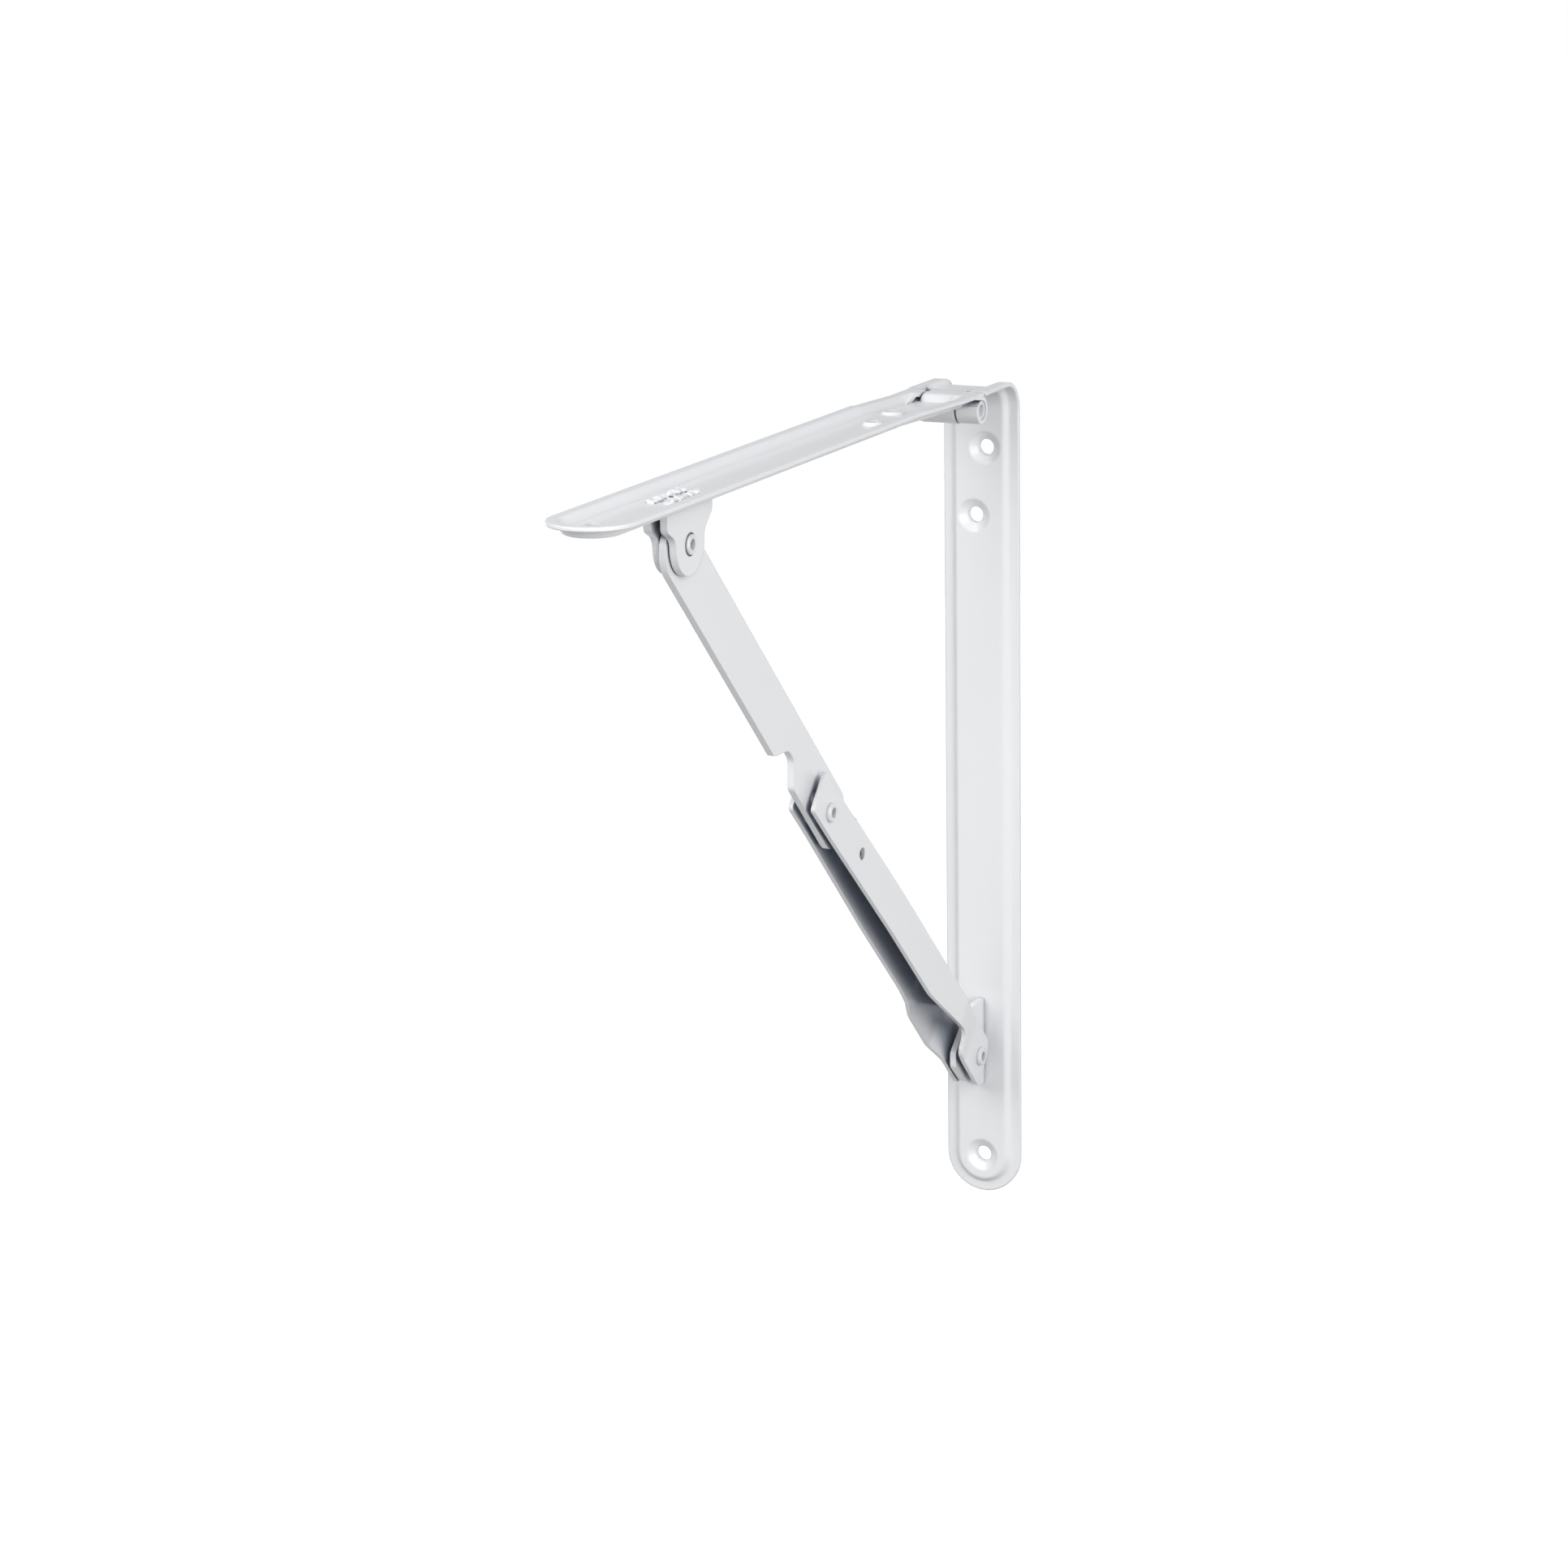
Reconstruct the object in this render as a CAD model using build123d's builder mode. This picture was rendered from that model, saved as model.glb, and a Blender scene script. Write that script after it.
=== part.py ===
from build123d import *
import math
import os

os.makedirs("parts", exist_ok=True)

# Folding shelf bracket: a wall plate and a shelf arm hinged together at the top, held
# square by a two-piece folding strut that locks just past its dead centre.
# Frame: +X across the width, -Y out from the wall, +Z up. The origin is on the wall
# plane, at the centre of the lowest screw hole.
# "out" below is a distance from the wall plane, "down" a distance below the shelf plane,
# which is the arm's upper face.

# ---- wall plate, pressed from sheet -------------------------------------------------
width = 30.0  # strip width of the wall plate and the arm
plate_sheet = 1.8  # sheet thickness of the wall plate
plate_bottom = 318.0  # lowest point of the wall plate, down
plate_rim = 4.2  # flat rim on each side of the raised panel, at the back face
plate_step = 2.5  # width of the pressed step from rim to panel
panel_raise = 2.0  # how far the panel stands forward of the rims
bend_radius = 11.5  # outer radius of the forward bend at the top
flange_down = 1.2  # upper face of the flange, down
flange_out = 34.0  # front edge of the flange, out
relief_start = 26.0  # where the pressed relief starts to narrow into the tab, out
relief_end = 30.0  # where the tab leaves the flange, out
tab_drop = 1.15  # how far the tab lies below the flange's upper face
tab_step = 1.2  # width of the step from the flange's corners down to the tab
edge_break = 0.3  # broken edges of the pressed sheets
step_toe = 0.25  # share of a pressed step's width in each of its eased ends
step_ease = 0.12  # share of its height there

# ---- shelf arm, pressed from sheet --------------------------------------------------
arm_sheet = 1.5
arm_out = 330.0  # round tip of the arm, out
arm_rim = 3.6  # flat rim on each side of the trough, at the top face
arm_step = 3.0  # width of the pressed step from rim to trough floor
trough_depth = 3.0
dip_start = 95.0  # from here to the hinge the arm runs down a little, out
dip = 1.5  # how far it has run down where the trough ends
strap_start = 52.0  # where the trough ends and the two hinge straps start, out
strap_flat = 43.0  # where the straps are flat, before they curl round the pin, out
flat_step = 0.02  # what is left of the pressed step where a strap is flat

# ---- main hinge ---------------------------------------------------------------------
pin_out = 36.6  # hinge axis, out
pin_diameter = 7.0
pin_clearance = 0.05  # radial running clearance in the rolled knuckles
pin_short = 0.4  # how far each end of the pin stays inside the arm's knuckle
pin_bore = 4.2  # hollow in each end of the pin
pin_bore_depth = 8.0
strap_width = 7.6  # mean width of the arm's two straps
knuckle_gap = 0.6  # between the middle knuckle and the arm's knuckles
tab_shift = 0.8  # the middle knuckle stands this far towards -X
tab_seam = 20.0  # the tab's roll ends here, in degrees above the wallward level
strap_seam = 156.0  # the straps' rolls end here, measured the same way

# ---- strut pivots -------------------------------------------------------------------
arm_pivot_out = 256.0
arm_pivot_down = 18.3
foot_pivot_out = 17.5
foot_pivot_down = 258.8
lock_offset = 5.9  # how far the knee stands beyond the line between the end pivots
shank_diameter = 5.0
shank_clearance = 0.1  # radial, where a strut piece turns on a rivet
seat_clearance = 0.03  # radial, where a rivet is set fast
head_diameter = 7.6  # factory head of each rivet, at the far side
head_height = 1.5
head_chamfer = 0.6
ring_diameter = 6.8  # set end of each rivet, at the near side
ring_height = 1.6
ring_chamfer = 0.4
rivet_hollow = 3.6  # hollow in the set end of each rivet
rivet_hollow_depth = 2.4
washer_diameter = 9.0
slip = 0.05  # side clearance between a washer and the strip that turns beside it

# ---- clevis ears under the arm ------------------------------------------------------
ear_sheet = 2.6
ear_gap = 3.4  # between the ears, for the strut bar
ear_reach = 10.3  # radius of the ear's lower end about its pivot
ear_front = 16.4  # ear's front shoulder, outward of its pivot
ear_back = 16.5  # ear's rear shoulder, wallward of its pivot
ear_shoulder_front = 7.4  # straight front shoulder, below the trough
ear_shoulder_back = 5.0  # straight rear shoulder, below the trough
ear_neck = 3.0  # the flanks meet the round end this far above the pivot
ear_corner = 2.5  # radius of the shoulder corners
ear_flank = 5.0  # radius of the hollow between shoulder and round end
ear_recess = 7.8  # recess for the set end of the arm rivet in the near ear
ear_recess_depth = 0.7
tenon_length = 5.2
tenon_pitch = 8.1
tenon_shift = 2.8  # middle tenon, outward of the pivot
tenon_proud = 0.8  # peened height above the trough floor
tenon_chamfer = 0.4

# ---- strut bar ----------------------------------------------------------------------
bar_sheet = 2.4
bar_outer = 6.2  # outer edge of the bar from the knee axis
bar_inner = 15.0  # inner edge of the bar from the knee axis
bar_pivot_offset = 6.8  # arm pivot, towards the inner edge from the knee's long axis
bar_tail = 21.0  # square tail beyond the knee, which lands on the channel's web
bar_tip = 10.6  # rounded tip beyond the arm pivot
tail_corner = 8.0
tail_bevel = 9.0  # bevelled inner corner of the tail, along the bar
tail_bevel_in = 4.5  # the same bevel, across the bar
tip_outer_corner = 11.0
tip_inner_corner = 8.0
scoop_start = 24.0  # finger scoop in the outer edge, from the knee
scoop_rise = 7.1  # sloping end of the scoop nearer the knee, along the bar
scoop_floor = 5.8  # length of the scoop's floor
scoop_fall = 8.6  # sloping end of the scoop nearer the arm, along the bar
scoop_depth = 7.8
scoop_corner = 3.0  # radius of the scoop's outer corners
scoop_inner = 4.0  # radius of the scoop's inner corners
bar_hole = 5.5
bar_hole_at = 7.8  # beyond the knee, towards the arm pivot
bar_hole_in = 0.7  # from the knee's long axis towards the inner edge

# ---- strut channel ------------------------------------------------------------------
channel_sheet = 1.6
channel_half = 6.4  # half of the outer width along the middle of the channel
knee_half = 5.0  # half of the outer width where it is pressed in at the knee
foot_half = 4.9  # half of the outer width where it hugs the foot lug
bulge_half = 8.0  # the far flange bulges here to clear the folded clevis
channel_back = 10.75  # outer face of the web from the pivot line
channel_front = 6.5  # front edge of the flanges from the pivot line
foot_front = 9.2  # front edge of the flanges at the foot
knee_end = 12.0  # flanges beyond the knee
foot_end = 6.8  # flanges beyond the foot pivot
foot_heel = 9.5  # radius of the flanges' rear corner at the foot
knee_heel = 1.5  # radius of the flanges' corners at the knee
foot_hug = 11.8  # the flanges hug the lug up to here, above the foot pivot
near_joggle = 17.0  # length over which the near flange then widens
far_joggle = 11.0  # length over which the far flange then bulges
bulge_end = 46.0  # the bulge ends here, above the foot pivot
bulge_fade = 9.0  # length over which it fades
taper_start = 75.0  # the channel starts to taper this far below the knee
taper_end = 6.0  # and has its full taper here, below the knee
joggle_round = 9.0  # radius of the flanges' bends in plan
scoop_wall = 19.0  # steep end of the near flange's hollow, above the foot pivot
scoop_wall_lean = 0.8
scoop_level = 0.0  # lowest point of the hollow's edge, from the pivot line
scoop_run = 62.0  # the hollow runs out here, above the foot pivot
foot_fall = 0.8  # how far the foot's front edge has dropped at the hollow
hollow_corner = 3.6  # radius at both ends of the steep end
edge_sweep = 30.0  # radius where a flange's edge changes slope
far_edge_end = 43.0  # the far flange keeps its height up to here
far_edge_run = 64.0  # and is down to the common height here
web_start = 21.0  # web starts this far above the foot pivot
stop_gap = 0.3  # between the bar's tail and the end of the web when locked
web_bend = 2.2
channel_hole = 4.4
channel_hole_at = 33.3  # below the knee
channel_hole_in = 2.4  # from the pivot line towards the web

# ---- foot lug on the wall plate -----------------------------------------------------
lug_sheet = 2.4
lug_reach = 14.5  # front of the lug from its pivot
lug_top = 18.9  # above the pivot
lug_below = 14.9  # below the pivot
lug_crest = 3.0  # the level top edge ends this far wallward of the pivot
lug_nose_high = 4.8  # upper corner of the nose, above the pivot
lug_nose_low = 0.7  # lower corner of the nose, below the pivot
lug_chin_out = 6.0  # chin, outward of the pivot
lug_chin_low = 8.3  # chin, below the pivot
lug_heel = 9.0  # the level bottom edge ends this far wallward of the pivot
lug_crest_round = 9.0
lug_nose_round = 3.0
lug_chin_round = 6.0
lug_heel_round = 4.0
lug_tenon = 7.0
lug_tenon_gap = 4.0
lug_tenon_proud = 1.2

# ---- screw holes --------------------------------------------------------------------
screw_hole = 6.0
dimple_diameter = 12.6
dimple_lip = 0.5  # flat round the hole at the bottom of a dimple
wall_holes = [(2.2, 27.3), (-2.2, 53.0), (0.0, plate_bottom - width / 2)]  # across, down
arm_screw_hole = 4.6
collar_foot = 9.4  # pressed-up collar round each screw hole of the arm, at its foot
collar_top = 7.0
collar_rise = 1.2  # above the trough floor
arm_holes = [(0.0, arm_out - width / 2), (2.2, 105.0), (-2.2, 79.0)]  # across, out

# ---- values that follow -------------------------------------------------------------
half = width / 2
top_z = plate_bottom - half  # height of the shelf plane above the origin
panel_front = panel_raise + plate_sheet
flange_top = top_z - flange_down
tab_top = flange_top - tab_drop
tab_width = width - 2 * (strap_width + knuckle_gap)  # middle knuckle
tab_ends = {1: tab_width / 2 - tab_shift, -1: tab_width / 2 + tab_shift}
strap_ins = {side: tab_ends[side] + knuckle_gap for side in (1, -1)}
knuckle_in = pin_diameter / 2 + pin_clearance
tab_roll = knuckle_in + plate_sheet
arm_roll = knuckle_in + arm_sheet
pin_z = tab_top - plate_sheet - knuckle_in
pin_y = -pin_out
floor_under = trough_depth + arm_sheet
shank = shank_diameter / 2
joint = 0.01  # how far pressed parts of one sheet are run into each other

arm_pivot = Vector(0, -arm_pivot_out, top_z - arm_pivot_down)
foot_pivot = Vector(0, -foot_pivot_out, top_z - foot_pivot_down)

# The strut folds flat: with the arm hanging straight down the channel stands upright
# and the knee is above the folded arm pivot. That fixes both link lengths.
span = (arm_pivot - foot_pivot).length
folded_y = pin_y - (arm_pivot.Z - pin_z)
folded_z = pin_z + (arm_pivot.Y - pin_y)
folded_side = folded_y - foot_pivot.Y
folded_rise = folded_z - foot_pivot.Z
reduced = span**2 - folded_side**2 - folded_rise**2
quad_a = 4 * (span**2 - folded_rise**2)
quad_b = -4 * span * reduced
quad_c = reduced**2 - 4 * folded_rise**2 * lock_offset**2
knee_along = (-quad_b + math.sqrt(quad_b**2 - 4 * quad_a * quad_c)) / (2 * quad_a)
channel_length = math.hypot(knee_along, lock_offset)
bar_length = math.hypot(span - knee_along, lock_offset)
to_arm = (arm_pivot - foot_pivot).normalized()
outward = Vector(1, 0, 0).cross(to_arm)
knee = foot_pivot + to_arm * knee_along + outward * lock_offset

to_knee = (knee - foot_pivot).normalized()
bar_line = (arm_pivot - knee).normalized()
bar_along = math.sqrt(bar_length**2 - bar_pivot_offset**2)
bar_skew = math.atan2(bar_pivot_offset, bar_along)
bar_side = Vector(1, 0, 0).cross(bar_line)
bar_axis = bar_line * math.cos(bar_skew) + bar_side * math.sin(bar_skew)

# local planes: x runs along the piece, y towards its outer edge, the normal is +X
channel_plane = Plane(origin=foot_pivot, x_dir=to_knee, z_dir=(1, 0, 0))
channel_plan = Plane(origin=foot_pivot, x_dir=to_knee, z_dir=-channel_plane.y_dir)
bar_plane = Plane(origin=knee, x_dir=bar_axis, z_dir=(1, 0, 0))


def arm_level(out):
    """Height of the arm's upper face at a distance from the wall."""
    run = (dip_start - out) / (dip_start - strap_start)
    return top_z - dip * min(1.0, max(0.0, run))


def section_plane(y, z):
    """Cross-section plane of the flange and the arm: x across, y downwards."""
    return Plane(origin=(0, y, z), x_dir=(1, 0, 0), z_dir=(0, 1, 0))


def edge_near(edges, spot):
    """The edge whose middle lies nearest to a point."""
    return edges.sort_by(lambda e: (e.center() - spot).length)[0]


def polar(centre, radius, degrees):
    """A point on a circle, in a sketch's own plane."""
    angle = math.radians(degrees)
    return (centre[0] + radius * math.cos(angle), centre[1] + radius * math.sin(angle))


def step_line(inner, outer, inner_level, outer_level):
    """A pressed step, eased at both ends, as points from its inner to its outer end."""
    run = outer - inner
    rise = outer_level - inner_level
    return [
        (inner, inner_level),
        (inner + step_toe * run, inner_level + step_ease * rise),
        (outer - step_toe * run, outer_level - step_ease * rise),
        (outer, outer_level),
    ]


def pressed_section(start, rim, step, depth, sheet, side=1):
    """Half section of a pressed strip, from the distance start to the outer edge."""
    edge = half - rim
    floor = edge - step
    lag = 0.45 * sheet * min(1.0, depth / sheet)
    low = depth + sheet
    with BuildSketch() as section:
        with BuildLine():
            Polyline(
                (start, depth),
                *step_line(floor, edge, depth, 0),
                (half - edge_break, 0),
                (half, edge_break),
                (half, sheet - edge_break),
                (half - edge_break, sheet),
                *reversed(step_line(floor + lag, edge + lag, low, sheet)),
                (start, low),
                close=True,
            )
        make_face()
        if side < 0:
            mirror(about=Plane.YZ, mode=Mode.REPLACE)
    return section.sketch_local


def dish_section():
    """Half section of a wall dimple: x is the radius, y the height off the wall."""
    rim = dimple_diameter / 2
    hole = screw_hole / 2
    lip = hole + dimple_lip
    with BuildSketch() as section:
        with BuildLine():
            Polyline(
                (lip, plate_sheet),
                (rim - dimple_lip, panel_front - edge_break),
                (rim, panel_front),
                (rim, panel_raise),
                (lip + dimple_lip, 0),
                (hole, 0),
                (hole, plate_sheet),
                close=True,
            )
        make_face()
    return section.sketch_local


def blank(plane, corners, low, high):
    """A flat blank between two levels of a plane; each corner is (x, y, radius)."""
    with BuildPart() as plate:
        with BuildSketch(plane.offset(low)):
            with BuildLine():
                Polyline(*[(x, y) for x, y, radius in corners], close=True)
            make_face()
        extrude(amount=high - low)
        for x, y, radius in corners:
            spot = plane.from_local_coords(Vector(x, y, (low + high) / 2))
            if radius > 0:
                fillet(edge_near(plate.edges().filter_by(Axis.X), spot), radius)
    return plate.part


# ---- wall plate ---------------------------------------------------------------------
plate_low = top_z - (plate_bottom - half)
plate_high = flange_top - bend_radius
with BuildPart() as wall_plate:
    low_plane = Plane(origin=(0, 0, plate_low), x_dir=(1, 0, 0), z_dir=(0, 0, -1))
    high_plane = Plane(origin=(0, 0, plate_high), x_dir=(1, 0, 0), z_dir=(0, 0, -1))
    with BuildSketch(low_plane):
        add(pressed_section(0, plate_rim, plate_step, panel_raise, plate_sheet))
        add(pressed_section(0, plate_rim, plate_step, panel_raise, plate_sheet, -1))
    extrude(amount=plate_high - plate_low, dir=(0, 0, 1))
    # round lower end, with the pressed step running round it
    with BuildSketch(low_plane):
        add(pressed_section(0, plate_rim, plate_step, panel_raise, plate_sheet))
    revolve(axis=Axis((0, 0, plate_low), (0, 1, 0)), revolution_arc=180)
    # bend and flange
    with BuildSketch(high_plane):
        add(pressed_section(0, plate_rim, plate_step, panel_raise, plate_sheet))
        add(pressed_section(0, plate_rim, plate_step, panel_raise, plate_sheet, -1))
    revolve(axis=Axis((0, -bend_radius, plate_high), (1, 0, 0)), revolution_arc=90)
    with BuildSketch(section_plane(-bend_radius, flange_top)):
        add(pressed_section(0, plate_rim, plate_step, panel_raise, plate_sheet))
        add(pressed_section(0, plate_rim, plate_step, panel_raise, plate_sheet, -1))
    extrude(amount=relief_start - bend_radius, dir=(0, -1, 0))
    # the relief narrows to the width of the tab
    for side in (1, -1):
        tab_rim = half - tab_ends[side] - tab_step
        with BuildSketch(section_plane(-relief_start, flange_top)) as wide:
            add(pressed_section(0, plate_rim, plate_step, panel_raise, plate_sheet, side))
        with BuildSketch(section_plane(-relief_end, flange_top)) as narrow:
            add(pressed_section(0, tab_rim, tab_step, tab_drop, plate_sheet, side))
        loft(sections=[wide.sketch.face(), narrow.sketch.face()])
    # front corners of the flange beside the tab
    corner_length = flange_out - relief_end + joint
    for side in (1, -1):
        corner_in = tab_ends[side] + tab_step + plate_sheet / 2
        with BuildSketch(Plane.XY.offset(flange_top - plate_sheet)):
            with Locations((side * (corner_in + half) / 2, -flange_out + corner_length / 2)):
                Rectangle(half - corner_in, corner_length)
        extrude(amount=plate_sheet)
    # tab and middle knuckle
    with BuildSketch(Plane.YZ.offset(-tab_ends[-1])):
        with BuildLine():
            Line((-relief_end + joint, tab_top), (pin_y, tab_top))
            CenterArc((pin_y, pin_z), tab_roll, 90, 270 + tab_seam)
            Line(polar((pin_y, pin_z), tab_roll, tab_seam), polar((pin_y, pin_z), knuckle_in, tab_seam))
            CenterArc((pin_y, pin_z), knuckle_in, tab_seam, -270 - tab_seam)
            Line((pin_y, tab_top - plate_sheet), (-relief_end + joint, tab_top - plate_sheet))
            Line((-relief_end + joint, tab_top - plate_sheet), (-relief_end + joint, tab_top))
        make_face()
    extrude(amount=tab_width)
    # screw holes, dished back to the wall plane
    for across, down in wall_holes:
        centre = (across, 0, top_z - down)
        with Locations(Plane(origin=centre, x_dir=(1, 0, 0), z_dir=(0, -1, 0))):
            Cylinder(dimple_diameter / 2, 4 * panel_front, mode=Mode.SUBTRACT)
        with BuildSketch(Plane(origin=centre, x_dir=(1, 0, 0), z_dir=(0, 0, -1))):
            add(dish_section())
        revolve(axis=Axis(centre, (0, 1, 0)))
    # slots for the foot lug's tenons
    with BuildSketch(Plane.XZ.offset(-plate_sheet)):
        for k in (-0.5, 0.5):
            with Locations((0, foot_pivot.Z + k * (lug_tenon + lug_tenon_gap))):
                Rectangle(lug_sheet, lug_tenon)
    extrude(amount=3 * plate_sheet + panel_raise, mode=Mode.SUBTRACT)

# ---- shelf arm ----------------------------------------------------------------------
tip_y = -(arm_out - half)
with BuildPart() as shelf_arm:
    with BuildSketch(section_plane(tip_y, top_z)):
        add(pressed_section(0, arm_rim, arm_step, trough_depth, arm_sheet))
        add(pressed_section(0, arm_rim, arm_step, trough_depth, arm_sheet, -1))
    extrude(amount=-tip_y - dip_start, dir=(0, 1, 0))
    with BuildSketch(section_plane(tip_y, top_z)):
        add(pressed_section(0, arm_rim, arm_step, trough_depth, arm_sheet))
    revolve(axis=Axis((0, tip_y, 0), (0, 0, -1)), revolution_arc=180)
    for side in (1, -1):
        # the last stretch of the trough runs down towards the hinge
        with BuildSketch(section_plane(-dip_start, top_z)) as level:
            add(pressed_section(0, arm_rim, arm_step, trough_depth, arm_sheet, side))
        with BuildSketch(section_plane(-strap_start, top_z - dip)) as dipped:
            add(pressed_section(0, arm_rim, arm_step, trough_depth, arm_sheet, side))
        loft(sections=[level.sketch.face(), dipped.sketch.face()], ruled=True)
        # straps beside the window for the middle knuckle
        strap_in = strap_ins[side]
        with BuildSketch(section_plane(-strap_start, top_z - dip)) as formed:
            add(pressed_section(strap_in, arm_rim, arm_step, trough_depth, arm_sheet, side))
        with BuildSketch(section_plane(-strap_flat, top_z - dip)) as flat:
            add(pressed_section(strap_in, arm_rim, arm_step, flat_step, arm_sheet, side))
        loft(sections=[formed.sketch.face(), flat.sketch.face()], ruled=True)
    # strap ends curl down behind the pin and forward under it
    axis_at = (pin_y, pin_z)
    strap_top = Vector(-strap_flat, top_z - dip)
    over = strap_top - Vector(*axis_at)
    under = over - Vector(0, arm_sheet)
    lean_over = math.degrees(math.atan2(over.Y, over.X) - math.acos(arm_roll / over.length))
    lean_under = math.degrees(math.atan2(under.Y, under.X) - math.acos(knuckle_in / under.length))
    for side in (1, -1):
        with BuildSketch(Plane.YZ.offset(side * strap_ins[side])):
            with BuildLine():
                Polyline(
                    polar(axis_at, arm_roll, lean_over),
                    (strap_top.X - joint, strap_top.Y),
                    (strap_top.X - joint, strap_top.Y - arm_sheet),
                    polar(axis_at, knuckle_in, lean_under),
                )
                CenterArc(axis_at, knuckle_in, strap_seam, lean_under + 360 - strap_seam)
                CenterArc(axis_at, arm_roll, strap_seam, lean_over + 360 - strap_seam)
                Line(polar(axis_at, knuckle_in, strap_seam), polar(axis_at, arm_roll, strap_seam))
            make_face()
        extrude(amount=side * (half - strap_ins[side]))
    # pressed-up collars round the screw holes
    for across, out in arm_holes:
        floor_z = arm_level(out) - trough_depth
        with Locations((across, -out, floor_z - arm_sheet / 2)):
            Cone(
                collar_foot / 2,
                collar_top / 2,
                collar_rise + arm_sheet / 2,
                align=(Align.CENTER, Align.CENTER, Align.MIN),
            )
        with Locations((across, -out, floor_z - arm_sheet - joint)):
            Cone(
                collar_foot / 2,
                arm_screw_hole / 2,
                collar_rise,
                align=(Align.CENTER, Align.CENTER, Align.MIN),
                mode=Mode.SUBTRACT,
            )
        with Locations((across, -out, floor_z)):
            Cylinder(arm_screw_hole / 2, 4 * floor_under, mode=Mode.SUBTRACT)
    # slots for the clevis tenons
    ear_mid = (ear_gap + ear_sheet) / 2
    with BuildSketch(Plane.XY.offset(top_z - 2 * floor_under)):
        for side in (1, -1):
            for k in (-1, 0, 1):
                with Locations((side * ear_mid, arm_pivot.Y - tenon_shift - k * tenon_pitch)):
                    Rectangle(ear_sheet, tenon_length)
    extrude(amount=2 * floor_under, mode=Mode.SUBTRACT)


def clevis_ear(side):
    """One clevis ear, standing under the trough with three peened tenons."""
    top = arm_pivot_down - floor_under
    corners = [
        (-ear_front, top, 0),
        (-ear_front, top - ear_shoulder_front, ear_corner),
        (-ear_reach, ear_neck, ear_flank),
        (-ear_reach, 0, 0),
        (ear_reach, 0, 0),
        (ear_reach, ear_neck, ear_flank),
        (ear_back, top - ear_shoulder_back, ear_corner),
        (ear_back, top, 0),
    ]
    ear_plane = Plane(origin=arm_pivot, x_dir=(0, 1, 0), z_dir=(1, 0, 0))
    levels = sorted((side * ear_gap / 2, side * (ear_gap / 2 + ear_sheet)))
    with BuildPart() as ear:
        add(blank(ear_plane, corners, *levels))
        with BuildSketch(ear_plane.offset(levels[0])):
            Circle(ear_reach)
        extrude(amount=ear_sheet)
        with BuildSketch(ear_plane.offset(levels[0])):
            Circle(shank + seat_clearance)
        extrude(amount=ear_sheet, mode=Mode.SUBTRACT)
        if side > 0:
            with BuildSketch(ear_plane.offset(levels[1] - ear_recess_depth)):
                Circle(ear_recess / 2)
            extrude(amount=ear_recess_depth, mode=Mode.SUBTRACT)
        for k in (-1, 0, 1):
            at = (side * ear_mid, arm_pivot.Y - tenon_shift - k * tenon_pitch)
            with BuildSketch(Plane.XY.offset(arm_pivot.Z + top)):
                with Locations(at):
                    Rectangle(ear_sheet, tenon_length)
            extrude(amount=arm_sheet + tenon_proud)
        chamfer(ear.faces().sort_by(Axis.Z)[-3:].edges(), tenon_chamfer)
    return ear.part


ear_left = clevis_ear(-1)
ear_right = clevis_ear(1)

# ---- foot lug -----------------------------------------------------------------------
lug_base = foot_pivot_out - panel_front
lug_corners = [
    (lug_base, lug_top, 0),
    (lug_crest, lug_top, lug_crest_round),
    (-lug_reach, lug_nose_high, lug_nose_round),
    (-lug_reach, -lug_nose_low, lug_nose_round),
    (-lug_chin_out, -lug_chin_low, lug_chin_round),
    (lug_heel, -lug_below, lug_heel_round),
    (lug_base, -lug_below, 0),
]
lug_plane = Plane(origin=foot_pivot, x_dir=(0, 1, 0), z_dir=(1, 0, 0))
with BuildPart() as foot_lug:
    add(blank(lug_plane, lug_corners, -lug_sheet / 2, lug_sheet / 2))
    with Locations(lug_plane):
        Cylinder(shank + shank_clearance, 2 * lug_sheet, mode=Mode.SUBTRACT)
    for k in (-0.5, 0.5):
        with BuildSketch(Plane.XZ.offset(panel_front)):
            with Locations((0, foot_pivot.Z + k * (lug_tenon + lug_tenon_gap))):
                Rectangle(lug_sheet, lug_tenon)
        extrude(amount=-(plate_sheet + lug_tenon_proud))

# ---- strut bar ----------------------------------------------------------------------
scoop_foot = scoop_start + scoop_rise
scoop_head = scoop_foot + scoop_floor
bar_corners = [
    (-bar_tail, bar_outer, tail_corner),
    (scoop_start, bar_outer, scoop_corner),
    (scoop_foot, bar_outer - scoop_depth, scoop_inner),
    (scoop_head, bar_outer - scoop_depth, scoop_inner),
    (scoop_head + scoop_fall, bar_outer, scoop_corner),
    (bar_along + bar_tip, bar_outer, tip_outer_corner),
    (bar_along + bar_tip, -bar_inner, tip_inner_corner),
    (tail_bevel - bar_tail, -bar_inner, 0),
    (-bar_tail, tail_bevel_in - bar_inner, 0),
]
with BuildPart() as strut_bar:
    add(blank(bar_plane, bar_corners, -bar_sheet / 2, bar_sheet / 2))
    with Locations(bar_plane):
        with Locations((0, 0), (bar_along, -bar_pivot_offset)):
            Cylinder(shank + shank_clearance, 2 * bar_sheet, mode=Mode.SUBTRACT)
        with Locations((bar_hole_at, -bar_hole_in)):
            Cylinder(bar_hole / 2, 2 * bar_sheet, mode=Mode.SUBTRACT)

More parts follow.
